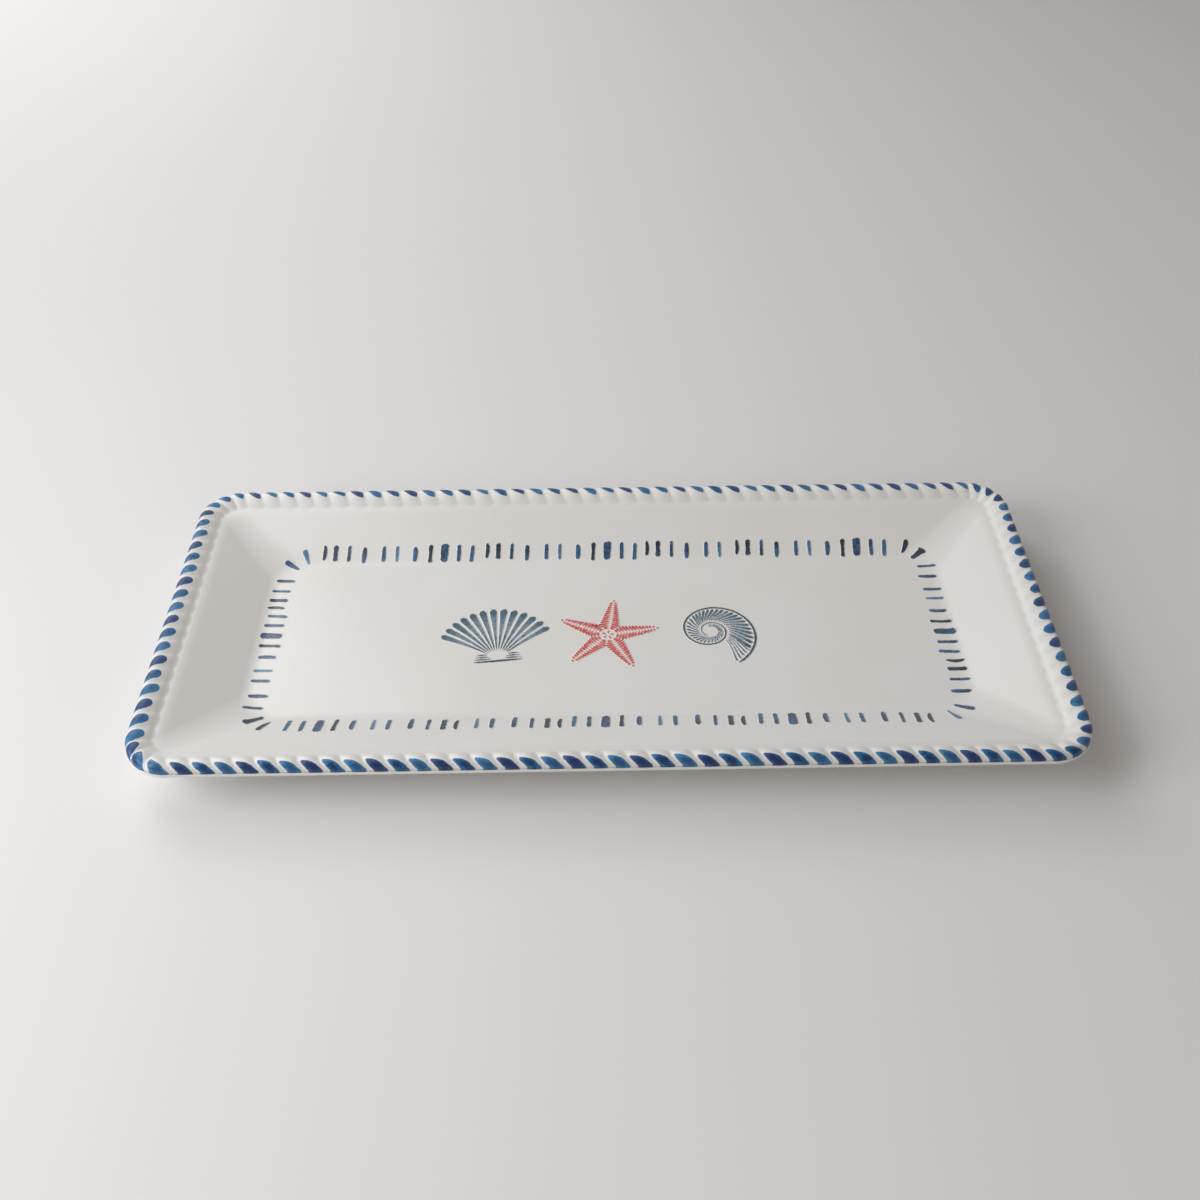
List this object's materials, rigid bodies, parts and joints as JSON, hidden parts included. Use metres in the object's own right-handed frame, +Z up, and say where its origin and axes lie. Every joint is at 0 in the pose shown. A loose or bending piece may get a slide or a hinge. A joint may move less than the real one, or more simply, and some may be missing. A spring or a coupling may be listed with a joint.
{
  "type": "rectangular serving platter",
  "caption": "Shallow rectangular ceramic platter with a flat well, sloping walls, a twisted rope moulding round the rim and a low foot ring, for serving food.",
  "frame": {"origin": "centre of the foot ring's underside, on the table", "axes": "+X along the platter's length, +Y to its back, +Z up out of the well"},
  "size_m": [0.356, 0.165, 0.0218],
  "materials": {
    "white_glaze": "gloss",
    "painted_glaze": "gloss",
    "bare_clay": "matte"
  },
  "bodies": {
    "root": {"platter_body": "white_glaze", "rope_rim": "painted_glaze", "foot_ring": "bare_clay"}
  },
  "joints": []
}
